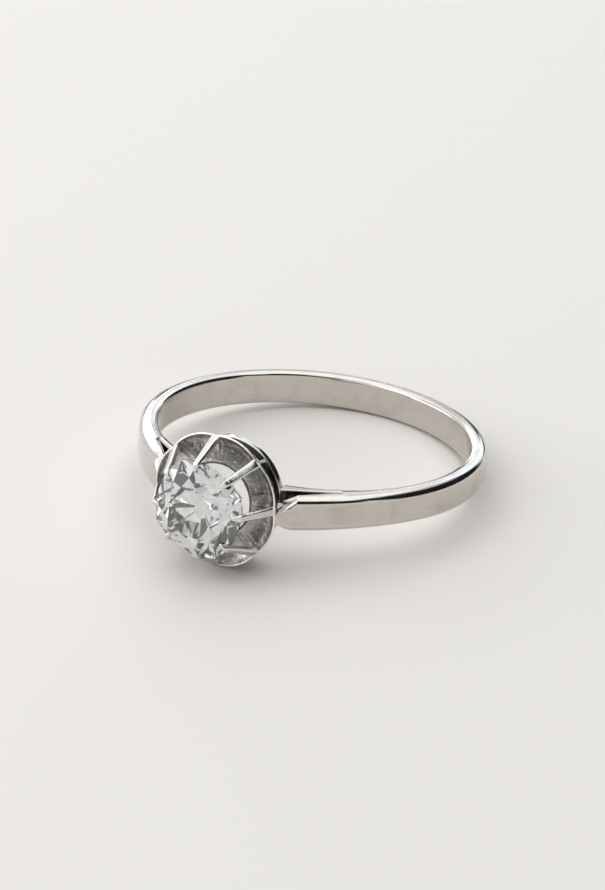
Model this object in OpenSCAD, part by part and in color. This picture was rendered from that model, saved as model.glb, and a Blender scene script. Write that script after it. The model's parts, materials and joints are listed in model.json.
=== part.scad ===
// Solitaire ring: a forked shank carrying an eight-petal cup whose eight claws hold one old-cut stone.
// Millimetres. The origin is the centre of the finger hole and +Z is the finger's axis.
// The setting stands on the -Y side. Angles about +Z are measured from that -Y direction.

/* [Finger hole and shank] */
// Diameter of the finger hole
hole_d = 16.9; // [16.4:0.1:17.4]
// Width of the shank along the finger
shank_width = 1.9; // [1.7:0.05:2.2]
// Thickness of the shank at the back
shank_thickness = 0.95; // [0.85:0.05:1.1]
// Radius of the shank's outer edges
outer_round = 0.4; // [0.3:0.05:0.4]
// Chamfer at each end of the finger hole
hole_chamfer = 0.25; // [0.1:0.05:0.3]

/* [Forked shoulders] */
// Angle from the setting at which the shoulders leave the round hoop
shoulder_start = 65; // [60:1:70]
// Angle from the setting at which each shoulder forks
fork_angle = 39; // [37:1:41]
// Curve radius of the upper branch's outer face
shoulder_curve_r = 16; // [15:0.5:17]
// Height of the fork's crotch above the finger hole
crotch_height = 0.5; // [0.4:0.05:0.6]
// Half width of the upper branch's inner edge at its tip
tip_half_width = 0.55; // [0.4:0.01:0.65]
// Thickness of the upper branch at its tip
tip_thickness = 0.5; // [0.4:0.05:0.6]
// Rise of the lower branch's outer face where it reaches the gallery rail
lower_branch_flare = 0.35; // [0.25:0.05:0.45]

/* [Gallery rail and collar] */
// Outer radius of the gallery rail
rail_r = 3.06; // [3.02:0.01:3.1]
// Radial thickness of the gallery rail
rail_wall = 0.34; // [0.3:0.01:0.36]
// Height of the rail's underside above the finger hole
rail_rise = 0.02; // [0:0.01:0.05]
// Depth of the rail along the setting's axis
rail_depth = 0.4; // [0.35:0.01:0.45]
// Outer radius of the collar's neck, where the petals begin
neck_r = 2.03; // [2:0.01:2.06]
// Height of the neck's upper edge above the finger hole
neck_rise = 1.65; // [1.61:0.01:1.69]
// Thickness of the collar's wall
collar_wall = 0.15; // [0.12:0.01:0.18]

/* [Petals and claws] */
// Turn of the setting about its own axis
setting_turn = 5; // [3:1:6]
// Radius of the cup's rim at each claw
rim_r = 3.44; // [3.42:0.01:3.48]
// Height of the cup's rim above the finger hole
rim_rise = 1.95; // [1.92:0.01:1.99]
// Extra radius of the rim in the middle of each petal
petal_lobe = 0.12; // [0.06:0.01:0.16]
// Depth of the hollow in each petal
petal_flute = 0.2; // [0.1:0.01:0.25]
// Thickness of the petals
petal_wall = 0.2; // [0.16:0.01:0.24]
// Width of each claw at the cup's rim
claw_width = 0.5; // [0.42:0.01:0.54]
// Thickness of each claw at the cup's rim
claw_thickness = 0.32; // [0.28:0.01:0.36]

/* [Stone] */
// Mean radius of the stone at its girdle
stone_r = 2.6; // [2.57:0.01:2.63]
// How far the girdle swells at the four soft corners
stone_cushion = 0.13; // [0:0.01:0.16]
// Height of the girdle's lower edge above the finger hole
girdle_rise = 3.53; // [3.5:0.01:3.55]
// Height of the girdle band
girdle_depth = 0.1; // [0.06:0.01:0.14]
// Height of the crown
crown_height = 0.86; // [0.8:0.01:0.95]
// Depth of the pavilion
pavilion_depth = 2.2; // [2:0.05:2.3]
// Radius of the table facet
table_r = 1.36; // [1.2:0.02:1.5]
// Radius of the open culet
culet_r = 0.36; // [0.25:0.01:0.45]

/* [Hidden] */
$fn = 180;

// Shank
hole_r = hole_d / 2;
hoop_r = hole_r + shank_thickness;
half_width = shank_width / 2;
round_steps = 3;
hole_run_out = 1;
shank_spans = 96;

// Shoulders. The upper branch's outer face is an arc that leaves the hoop's circle at a tangent.
arc_centre_d = shoulder_curve_r - hoop_r;
tip_angle = 18.9;
branch_steps = 12;
branch_spread = 1.6;
taper_share = 0.72;
ridge_half_width = 0.03;
lower_branch_end_x = 2.78;
lower_branch_end_angle = 16;
lower_branch_steps = 8;

// Setting. Heights named _h are above the ring's centre.
rail_h = hole_r + rail_rise;
neck_h = hole_r + neck_rise;
rim_h = hole_r + rim_rise;
girdle_h = hole_r + girdle_rise;
petal_total = 8;
petal_pitch = 360 / petal_total;
petal_spans = 10;
rim_thinning = 0.5;
profile_steps = 6;
rail_chamfer = 0.06;
rail_inner_r = rail_r - rail_wall;
collar_foot_depth = 0.3;
neck_depth = 0.4;
petal_inner_h = neck_h - 0.06;
claw_foot_h = rail_h + rail_depth;
claw_foot_r = rail_r - rail_wall / 2 + 0.01;

// Stone
facet_pitch = 360 / 8;
cushion_phase = 22;
star_r = (table_r + stone_r) / 2 + 0.06;
lower_girdle_r = 0.42 * stone_r;
table_h = girdle_h + girdle_depth + crown_height;
culet_h = girdle_h - pavilion_depth;

steel = [0.86, 0.86, 0.87];
mirror_dark = [0.62, 0.62, 0.64];
clear = [0.85, 0.92, 0.97, 0.55];

// Point at an angle from the -Y direction, positive towards +X.
function about(angle, r) = [r * sin(angle), -r * cos(angle)];

// Corner points of a quarter round between a bar's flat face and its outer face, from the flat face outwards.
function round_points(r, half, b) =
    [for (i = [0:round_steps]) let (a = 90 * i / round_steps) [r - b + b * sin(a), half - b + b * cos(a)]];

// The finger hole with a chamfer at each end.
module hole_cutter() {
    straight = half_width - hole_chamfer;
    flare = hole_r + hole_chamfer + hole_run_out;
    rotate_extrude() polygon([[0, -half_width - hole_run_out], [flare, -half_width - hole_run_out],
                              [hole_r, -straight], [hole_r, straight],
                              [flare, half_width + hole_run_out], [0, half_width + hole_run_out]]);
}

// Cross-section of the shank: its flat faces reach inside the finger hole, which is cut afterwards.
function shank_section(r) = let (top = round_points(r, half_width, outer_round))
    concat([[hole_r - hole_run_out, half_width]], top,
           [for (i = [round_steps:-1:0]) [top[i][0], -top[i][1]]], [[hole_r - hole_run_out, -half_width]]);

// Outer radius of the shank at an angle from the -Y direction: round at the back, rising into the shoulders.
function shank_r(angle) = let (turn = min(angle, 360 - angle)) turn < shoulder_start ? shoulder_r(turn) : hoop_r;

module shank() {
    loops = [for (i = [0:shank_spans]) let (angle = fork_angle + (360 - 2 * fork_angle) * i / shank_spans)
        [for (q = shank_section(shank_r(angle))) let (p = about(angle, q[0])) [p[0], p[1], q[1]]]];
    color(steel) difference() {
        skin(loops);
        hole_cutter();
    }
}

// Radius of the shoulder's outer face at an angle from the -Y direction.
function shoulder_r(angle) = let (q = arc_centre_d * cos(angle - shoulder_start))
    sqrt(q * q - arc_centre_d * arc_centre_d + shoulder_curve_r * shoulder_curve_r) - q;

// The upper branch of the right shoulder before the setting is fitted to it. Its section is a bar with
// bevelled outer edges, which closes to a roof with its ridge outwards at the tip.
module upper_branch() {
    crotch_r = hole_r + crotch_height;
    tip_inner_r = shoulder_r(tip_angle) - tip_thickness;
    loops = [for (i = [0:branch_steps]) let (
            f = i / branch_steps,
            angle = fork_angle + (tip_angle - fork_angle) * f,
            close = max(0, (f - taper_share) / (1 - taper_share)),
            outer = shoulder_r(angle),
            inner = crotch_r + (tip_inner_r - crotch_r) * pow(f, branch_spread),
            in_half = half_width + (tip_half_width - half_width) * close,
            edge_half = (half_width - outer_round) * (1 - close) + ridge_half_width * close,
            bevel_half = in_half + (edge_half - in_half) * 0.6 * close)
        [for (q = [[outer, edge_half], [outer - outer_round, bevel_half], [inner, in_half],
                   [inner, -in_half], [outer - outer_round, -bevel_half], [outer, -edge_half]])
            let (p = about(angle, q[0])) [p[0], p[1], q[1]]]];
    skin(loops);
}

module shoulder_right() {
    color(steel) difference() {
        upper_branch();
        setting_frame() {
            claw_bar(0);
            petal_leaf(0);
            petal_leaf(petal_total - 1);
        }
    }
}

module shoulder_left() {
    half = petal_total / 2;
    color(steel) difference() {
        mirror([1, 0, 0]) upper_branch();
        setting_frame() {
            claw_bar(half);
            petal_leaf(half);
            petal_leaf(half - 1);
        }
    }
}

// The lower branch of the right shoulder, which follows the finger hole to the gallery rail.
module lower_branch() {
    span = fork_angle - lower_branch_end_angle;
    outer = [for (i = [0:lower_branch_steps]) let (f = i / lower_branch_steps)
        about(fork_angle - span * f, hole_r + crotch_height + lower_branch_flare * f * f)];
    inner_fork = about(fork_angle, hole_r - hole_run_out);
    difference() {
        intersection() {
            linear_extrude(height = shank_width, center = true) polygon(concat([[0, 0], inner_fork], outer));
            translate([lower_branch_end_x, -2 * hoop_r, -shank_width])
                cube([hoop_r, 2 * hoop_r, 2 * shank_width]);
        }
        hole_cutter();
        setting_frame() translate([0, 0, rail_h]) cylinder(r = rail_r, h = rail_h);
    }
}

module lower_branch_right() {
    color(steel) lower_branch();
}

module lower_branch_left() {
    color(steel) mirror([1, 0, 0]) lower_branch();
}

// Puts the setting's own frame (z along its axis, away from the finger) into the ring's frame.
module setting_frame() {
    rotate([90, 0, 0]) rotate([0, 0, setting_turn]) children();
}

module gallery_rail() {
    top = rail_h + rail_depth;
    c = rail_chamfer;
    color(steel) setting_frame() rotate_extrude()
        polygon([[rail_inner_r, rail_h], [rail_r, rail_h], [rail_r, top - c], [rail_r - c, top],
                 [rail_inner_r + c, top], [rail_inner_r, top - c]]);
}

// Tapered collar from the gallery rail up to the bottom of the cup.
module collar() {
    neck_in = neck_r - collar_wall;
    foot_in = rail_inner_r - collar_wall;
    foot_top = rail_h + collar_foot_depth;
    neck_bottom = neck_h - neck_depth;
    color(steel) setting_frame() rotate_extrude()
        polygon([[foot_in, rail_h], [rail_inner_r, rail_h], [rail_inner_r, foot_top], [neck_r, neck_bottom],
                 [neck_r, neck_h], [neck_in, neck_h], [neck_in, neck_bottom], [foot_in, foot_top]]);
}

// A closed solid through a list of loops. Each loop runs out along one side and back along the other,
// so that its ends are capped by strips between the two sides.
module skin(loops) {
    n = len(loops[0]);
    half = n / 2;
    last = len(loops) - 1;
    points = [for (loop = loops) for (p = loop) p];
    sides = [for (i = [0:last - 1]) for (j = [0:n - 1]) let (k = (j + 1) % n, a = i * n, b = a + n)
        each [[a + j, b + j, b + k], [a + j, b + k, a + k]]];
    caps = [for (j = [0:half - 2]) let (q = n - 1 - j, e = last * n)
        each [[j, j + 1, q - 1], [j, q - 1, q], [e + q - 1, e + j + 1, e + j], [e + q, e + q - 1, e + j]]];
    polyhedron(points = points, faces = concat(sides, caps));
}

// Stations along a claw: radius, height, direction of its thickness, and its share of thickness and width.
function claw_stations() = [
    [claw_foot_r, claw_foot_h, 0, 0.7, 0.5],
    [claw_foot_r + 0.12, claw_foot_h + 0.45, -12, 0.65, 0.45],
    [rim_r - 0.2, rim_h - 0.5, -14, 0.75, 0.5],
    [rim_r - 0.05, rim_h - 0.12, 4, 0.85, 1.1],
    [rim_r - 0.17, rim_h + 0.28, 28, 0.95, 1],
    [stone_r + 0.3, girdle_h - 0.55, 28, 0.95, 0.9],
    [stone_r + 0.06, girdle_h - 0.04, 24, 0.95, 0.82],
    [stone_r - 0.06, girdle_h + 0.27, 42, 0.85, 0.78],
    [stone_r - 0.3, girdle_h + 0.44, 62, 0.62, 0.62],
    [stone_r - 0.42, girdle_h + 0.48, 66, 0.3, 0.36]];

// One claw before the stone is let into it. Its section is a bar with a flat face and two bevels outwards.
module claw_bar(i) {
    section = [[1, 0.5], [0.1, 1], [-1, 0.72], [-1, -0.72], [0.1, -1], [1, -0.5]];
    loops = [for (s = claw_stations()) let (t = s[3] * claw_thickness / 2, w = s[4] * claw_width / 2)
        [for (q = section) [s[0] + q[0] * t * cos(s[2]), q[1] * w, s[1] + q[0] * t * sin(s[2])]]];
    rotate([0, 0, i * petal_pitch]) skin(loops);
}

// Point on the cup's hollow face in a meridian plane: f runs from the collar's neck to the rim.
// The curve is a parabola with its control point low down near the rim.
function cup_point(f, lobe) = let (g = 1 - f, neck = neck_r / cos(petal_pitch / petal_spans / 2))
    [g * g * neck + 2 * f * g * (rim_r - 0.42) + f * f * (rim_r + lobe),
     g * g * petal_inner_h + 2 * f * g * (petal_inner_h - 0.16) + f * f * rim_h];

// Cross-section of a petal in a meridian plane, hollowed by a flute and thinned towards its rim.
function petal_loop(lobe, flute) = let (
        face = [for (j = [0:profile_steps]) let (f = j / profile_steps, p = cup_point(f, lobe))
            [p[0] + 0.5 * flute * sin(180 * f), p[1] - flute * sin(180 * f)]],
        back = [for (j = [profile_steps:-1:0]) let (f = j / profile_steps, wall = petal_wall * (1 - rim_thinning * f))
            [face[j][0] + wall * f, face[j][1] - wall * (1 - 0.45 * f)]])
    concat(face, back);

// One petal between claws i and i + 1 before the claws are let into it.
module petal_leaf(i) {
    loops = [for (k = [0:petal_spans]) let (u = 2 * k / petal_spans - 1, a = petal_pitch * k / petal_spans,
                                           swell = 1 - u * u)
        [for (p = petal_loop(petal_lobe * swell, petal_flute * swell)) [p[0] * cos(a), p[0] * sin(a), p[1]]]];
    rotate([0, 0, i * petal_pitch]) skin(loops);
}

module petal(i) {
    color(mirror_dark) setting_frame() difference() {
        petal_leaf(i);
        claw_bar(i);
        claw_bar(i + 1);
    }
}

module claw(i) {
    color(steel) setting_frame() difference() {
        claw_bar(i);
        stone_body();
    }
}

// Radius of the girdle at an angle: a circle swollen at four soft corners.
function girdle_r(a) = stone_r + stone_cushion * cos(4 * (a - cushion_phase));

// A ring of eight points whose outline follows the girdle's at a share of its radius.
function stone_ring(r, h, phase) =
    [for (i = [0:7]) let (a = facet_pitch * i + phase, q = r * girdle_r(a) / stone_r) [q * cos(a), q * sin(a), h]];

// Old-cut brilliant: eight kites, eight stars and sixteen halves above the girdle, eight mains and
// sixteen halves below it, and an open culet.
module stone_body() {
    half = facet_pitch / 2;
    top = girdle_h + girdle_depth;
    share = cos(half);
    star_h = table_h - crown_height * (star_r * share - table_r) / (stone_r - table_r);
    main_h = culet_h + pavilion_depth * (lower_girdle_r - culet_r) * share / (stone_r - culet_r * share);
    points = concat(stone_ring(table_r, table_h, 0), stone_ring(star_r, star_h, half),
                    stone_ring(stone_r, top, 0), stone_ring(stone_r, top, half),
                    stone_ring(stone_r, girdle_h, 0), stone_ring(stone_r, girdle_h, half),
                    stone_ring(lower_girdle_r, main_h, half), stone_ring(culet_r, culet_h, half),
                    [[0, 0, table_h], [0, 0, culet_h]]);
    sides = [for (i = [0:7]) let (n = (i + 1) % 8, t = 0, s = 8, g = 16, m = 24, lg = 32, lm = 40, l = 48, c = 56)
        each [[64, t + n, t + i], [t + i, t + n, s + i],
              [t + n, g + n, s + i], [t + n, s + n, g + n],
              [s + i, g + n, m + i], [s + i, m + i, g + i],
              [m + i, lm + i, g + i], [g + i, lm + i, lg + i],
              [g + n, lg + n, m + i], [m + i, lg + n, lm + i],
              [lg + i, lm + i, l + i], [lm + i, lg + n, l + i],
              [lg + n, c + i, l + i], [lg + n, l + n, c + n], [lg + n, c + n, c + i],
              [c + i, c + n, 65]]];
    polyhedron(points = points, faces = sides);
}

module diamond() {
    color(clear) setting_frame() stone_body();
}

shank();
shoulder_right();
shoulder_left();
lower_branch_right();
lower_branch_left();
gallery_rail();
collar();
petal(0);  // petal_1
petal(1);  // petal_2
petal(2);  // petal_3
petal(3);  // petal_4
petal(4);  // petal_5
petal(5);  // petal_6
petal(6);  // petal_7
petal(7);  // petal_8
claw(0);  // claw_1
claw(1);  // claw_2
claw(2);  // claw_3
claw(3);  // claw_4
claw(4);  // claw_5
claw(5);  // claw_6
claw(6);  // claw_7
claw(7);  // claw_8
diamond();
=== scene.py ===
"""Solitaire ring with an eight-petal cup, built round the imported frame.

The ring is worked out in millimetres in the ring's own frame, where +Z is the finger's axis and the
setting stands on the -Y side, and it is scaled to metres when a mesh is made. Angles about +Z are
measured from the -Y direction. The setting has a frame of its own: x, y and a height above the ring's
centre along -Y, turned a few degrees about that height.
"""

import json
import logging
import math
from dataclasses import dataclass, field
from enum import Enum
from typing import Callable

import bpy
import numpy as np
from mathutils import Matrix, Vector


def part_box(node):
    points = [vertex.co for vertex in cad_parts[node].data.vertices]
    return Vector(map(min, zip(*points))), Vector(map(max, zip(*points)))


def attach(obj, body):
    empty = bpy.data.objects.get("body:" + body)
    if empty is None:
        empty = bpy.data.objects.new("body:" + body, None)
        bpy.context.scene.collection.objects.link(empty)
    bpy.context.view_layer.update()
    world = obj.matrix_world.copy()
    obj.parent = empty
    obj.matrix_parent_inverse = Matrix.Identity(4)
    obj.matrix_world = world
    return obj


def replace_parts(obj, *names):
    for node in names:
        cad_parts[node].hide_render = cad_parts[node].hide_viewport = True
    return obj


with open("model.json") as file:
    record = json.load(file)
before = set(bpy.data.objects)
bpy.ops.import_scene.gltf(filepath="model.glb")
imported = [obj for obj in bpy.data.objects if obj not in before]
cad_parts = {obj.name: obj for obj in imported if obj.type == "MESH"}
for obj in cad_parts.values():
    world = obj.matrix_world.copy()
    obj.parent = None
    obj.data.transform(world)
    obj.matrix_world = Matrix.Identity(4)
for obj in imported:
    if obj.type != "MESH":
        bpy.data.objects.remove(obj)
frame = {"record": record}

log = logging.getLogger("ring")

Array = np.ndarray
Colour = tuple[float, float, float]

MM = 0.001

# How steeply the spread of the normals round a point turns into edge wear and painted edge highlight.
EDGE_GAIN = 150.0
# Most of an edge that the softening of one of its corners may use.
CORNER_SHARE = 0.45
# Corners of a claw's section, out and across, as shares of half its thickness and half its width.
CLAW_CORNERS = ((-1, 0.8), (0.45, 1), (1, 0.64), (1, -0.64), (0.45, -1), (-1, -0.8))
# Angle in degrees past which an edge stays crisp on a smooth piece, unless the piece says otherwise.
CREASE = 32.0


class Slot(Enum):
    """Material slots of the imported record."""

    WHITE_METAL = "white_metal"
    GALLERY_METAL = "gallery_metal"
    PETAL_METAL = "petal_metal"
    CLAW_METAL = "claw_metal"
    DIAMOND = "diamond"


class Shading(Enum):
    """How the light runs over a piece's faces."""

    SMOOTH = "smooth"
    FACETED = "faceted"


class Side(Enum):
    """The two sides of the ring, seen from the setting."""

    RIGHT = "right"
    LEFT = "left"


# ---------------------------------------------------------------------------------------------------
# Surfaces


@dataclass(frozen=True)
class Skin:
    """A closed surface in millimetres.

    Attributes:
        points: Its points.
        faces: Its faces, with the end caps last.
        uv: Where each corner of each face lies on the unrolled surface.
        caps: Number of faces in the end caps.
    """

    points: Array
    faces: Array
    uv: Array
    caps: int = 0

    def placed(self, place: Callable[[Array], Array]) -> "Skin":
        """The same skin with its points carried by a function."""
        return Skin(place(self.points), self.faces, self.uv, self.caps)

    def mirrored(self) -> "Skin":
        """The same skin on the other side of the ring, with its faces still outwards."""
        flipped = self.points * np.array([-1.0, 1.0, 1.0])
        return Skin(flipped, self.faces[:, ::-1], self.uv[:, ::-1], self.caps)

    def outward(self) -> "Skin":
        """The skin with its faces turned outwards.

        The signed volume is the sum over fans of triangles of a . (b x c) / 6; a negative sum means that
        the faces look inwards.

        Returns:
            This skin, or the same one with its faces turned round.
        """
        corners = self.points[self.faces]
        first = corners[:, :1]
        fans = np.einsum("fik,fik->fi", first, np.cross(corners[:, 1:-1], corners[:, 2:]))
        if fans.sum() >= 0:
            return self
        return Skin(self.points, self.faces[:, ::-1], self.uv[:, ::-1], self.caps)


def run_lengths(points: Array, axis: int) -> Array:
    """Mean distance run along one axis of a grid of points.

    Args:
        points: Grid of points, shape (rows, columns, 3).
        axis: The axis to walk along, 0 or 1.

    Returns:
        Running length at each step, starting at 0.
    """
    steps = np.linalg.norm(np.diff(points, axis=axis), axis=2).mean(axis=1 - axis)
    return np.concatenate([[0.0], np.cumsum(steps)])


def sweep(loops: Array) -> Skin:
    """Skin through a row of closed loops, with both ends capped.

    Loop i, point j is points[i, j]. Each side face joins points j and j + 1 of loops i and i + 1. A loop
    runs out along one side and back along the other, so that strips between points j and n - 1 - j
    close each end.

    Args:
        loops: Points of the loops, shape (loops, points in a loop, 3), with an even second size.

    Returns:
        The closed skin.
    """
    rows, count = loops.shape[:2]
    i, j = np.meshgrid(np.arange(rows - 1), np.arange(count), indexing="ij")
    near, far = i * count + j, i * count + (j + 1) % count
    sides = np.stack([near, far, far + count, near + count], -1).reshape(-1, 4)
    k = np.arange(count // 2 - 1)
    q = count - 1 - k
    start = np.stack([k + 1, k, q, q - 1], -1)
    end = np.stack([k, k + 1, q - 1, q], -1) + (rows - 1) * count
    along = run_lengths(loops, 0)
    around = run_lengths(np.concatenate([loops, loops[:, :1]], axis=1), 1)
    side_uv = np.stack([along[np.stack([i, i, i + 1, i + 1], -1)],
                        around[np.stack([j, j + 1, j + 1, j], -1)]], -1).reshape(-1, 4, 2)
    caps = np.concatenate([start, end])
    flat = loops.reshape(-1, 3)
    cap_uv = flat[caps][:, :, :2]
    return Skin(flat, np.concatenate([sides, caps]), np.concatenate([side_uv, cap_uv]), len(caps))


def revolve(profile: Array, steps: int) -> Skin:
    """Closed ring-shaped skin from a closed profile of radius and height.

    The point at turn a of profile point (r, h) is (r cos a, r sin a, h).

    Args:
        profile: Closed profile, shape (points, 2).
        steps: Steps round the full turn.

    Returns:
        The closed skin in the setting's frame.
    """
    count = len(profile)
    turn = np.arange(steps) * 2 * np.pi / steps
    grid = np.stack([profile[:, 0] * np.cos(turn)[:, None], profile[:, 0] * np.sin(turn)[:, None],
                     np.broadcast_to(profile[:, 1], (steps, count))], -1)
    i, j = np.meshgrid(np.arange(steps), np.arange(count), indexing="ij")
    ni, nj = (i + 1) % steps, (j + 1) % count
    faces = np.stack([i * count + j, i * count + nj, ni * count + nj, ni * count + j], -1).reshape(-1, 4)
    closed = np.concatenate([profile, profile[:1]])
    around = np.concatenate([[0.0], np.cumsum(np.linalg.norm(np.diff(closed, axis=0), axis=1))])
    run = np.arange(steps + 1) * 2 * np.pi / steps * profile[:, 0].mean()
    uv = np.stack([run[np.stack([i, i, i + 1, i + 1], -1)],
                   around[np.stack([j, j + 1, j + 1, j], -1)]], -1).reshape(-1, 4, 2)
    return Skin(grid.reshape(-1, 3), faces, uv)


def softened(corners: Array, radius: float, steps: int) -> Array:
    """Closed polygon with each corner replaced by a small curve.

    The curve at corner c is the parabola (1-t)^2 a + 2t(1-t) c + t^2 b between the points a and b that lie
    the given distance from c along its two edges.

    Args:
        corners: Corners in order, shape (n, 2).
        radius: Distance cut back along each edge, if the edge is long enough for it.
        steps: Points on each curve, at least 2.

    Returns:
        Points of the softened polygon, shape (n * steps, 2).
    """
    before = np.roll(corners, 1, axis=0) - corners
    after = np.roll(corners, -1, axis=0) - corners
    long_before = np.linalg.norm(before, axis=1, keepdims=True)
    long_after = np.linalg.norm(after, axis=1, keepdims=True)
    a = corners + before / long_before * np.minimum(radius, CORNER_SHARE * long_before)
    b = corners + after / long_after * np.minimum(radius, CORNER_SHARE * long_after)
    t = np.linspace(0, 1, steps)[None, :, None]
    curve = (1 - t) ** 2 * a[:, None] + 2 * t * (1 - t) * corners[:, None] + t**2 * b[:, None]
    return curve.reshape(-1, 2)


def smooth_rows(rows: Array, count: int) -> Array:
    """Rows read from a curve that passes through all the given rows.

    The curve is a Catmull-Rom spline: between rows p1 and p2 it is half of 2 p1 + (p2-p0) t +
    (2p0-5p1+4p2-p3) t^2 + (3p1-p0-3p2+p3) t^3, and its ends go straight on.

    Args:
        rows: Given rows, shape (n, k). The first two columns are a place, whose distances set the pace.
        count: Rows wanted.

    Returns:
        Rows along the curve, shape (count, k).
    """
    steps = np.linalg.norm(np.diff(rows[:, :2], axis=0), axis=1)
    pace = np.concatenate([[0.0], np.cumsum(steps)])
    at = np.interp(np.linspace(0, pace[-1], count), pace, np.arange(len(rows)))
    i = np.minimum(at.astype(int), len(rows) - 2)
    t = (at - i)[:, None]
    padded = np.concatenate([[2 * rows[0] - rows[1]], rows, [2 * rows[-1] - rows[-2]]])
    p0, p1, p2, p3 = padded[i], padded[i + 1], padded[i + 2], padded[i + 3]
    return 0.5 * (2 * p1 + (p2 - p0) * t + (2 * p0 - 5 * p1 + 4 * p2 - p3) * t**2
                  + (3 * p1 - p0 - 3 * p2 + p3) * t**3)


def edge_wear_and_highlight(skin: Skin) -> Array:
    """How much each point is worn and painted bright as a highlight: 0 on a flat and 1 on a rounded edge.

    The mean of the unit normals of the faces round a point is shorter than 1 by about half the square of
    their spread, so 1 - length, scaled up and clipped, marks the edges. End caps, which lie against other
    pieces, don't count.

    Args:
        skin: The surface.

    Returns:
        One value per point, from 0 to 1.
    """
    faces = skin.faces[:len(skin.faces) - skin.caps]
    corners = skin.points[faces]
    normals = np.cross(corners[:, 2] - corners[:, 0], corners[:, -1] - corners[:, 1])
    normals /= np.maximum(np.linalg.norm(normals, axis=1, keepdims=True), 1e-12)
    total = np.zeros_like(skin.points)
    count = np.zeros(len(skin.points))
    for k in range(faces.shape[1]):
        np.add.at(total, faces[:, k], normals)
        np.add.at(count, faces[:, k], 1)
    return np.clip(EDGE_GAIN * (1 - np.linalg.norm(total, axis=1) / np.maximum(count, 1)), 0, 1)


def direction(azimuth: float, height: float) -> Array:
    """Unit vector from the ring towards a light, a card or the camera.

    At azimuth a and height e it is (sin a cos e, -cos a cos e, sin e).

    Args:
        azimuth: Angle about the finger's axis in degrees: 0 is in front of the setting, 90 to its right.
        height: Angle above the ring's horizon in degrees.

    Returns:
        The vector.
    """
    a, e = math.radians(azimuth), math.radians(height)
    return np.array([math.sin(a) * math.cos(e), -math.cos(a) * math.cos(e), math.sin(e)])


def linked(name: str, data: bpy.types.ID) -> bpy.types.Object:
    """Makes an object for a mesh, a light or a camera and puts it in the scene.

    Args:
        name: Name of the object.
        data: What it holds.

    Returns:
        The new object.
    """
    thing = bpy.data.objects.new(name, data)
    bpy.context.scene.collection.objects.link(thing)
    return thing


def add_piece(name: str, skin: Skin, slot: Slot, finish: "Finish", shading: Shading = Shading.SMOOTH,
              crease: float = CREASE) -> bpy.types.Object:
    """Makes a mesh object from a skin, dresses it and lets it ride on the ring.

    Args:
        name: Name of the piece.
        skin: Its surface in millimetres, in the ring's frame.
        slot: Material slot of the record; not used.
        finish: Finish to dress it in.
        shading: Smooth or faceted.
        crease: Angle in degrees past which an edge stays crisp on a smooth piece.

    Returns:
        The new object.
    """
    skin = skin.outward()
    mesh = bpy.data.meshes.new(name)
    mesh.from_pydata((skin.points * MM).tolist(), [], skin.faces.tolist())
    layer = mesh.uv_layers.new(name="surface")
    layer.data.foreach_set("uv", (skin.uv * MM).astype(np.float32).ravel())
    smooth = shading is Shading.SMOOTH
    mesh.polygons.foreach_set("use_smooth", np.full(len(mesh.polygons), smooth))
    if smooth:
        mesh.set_sharp_from_angle(angle=math.radians(crease))
    # Edge mask for the metals: burnished wear and painted highlight on rounded edges.
    edges = mesh.attributes.new("edge", "FLOAT", "POINT")
    edges.data.foreach_set("value", edge_wear_and_highlight(skin).astype(np.float32))
    mesh.materials.append(finish.material())
    mesh.update()
    piece = linked(name, mesh)
    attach(piece, "root")
    log.info("%s: %d points, %d faces", name, len(skin.points), len(skin.faces))
    return piece


# ---------------------------------------------------------------------------------------------------
# Finishes


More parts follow.
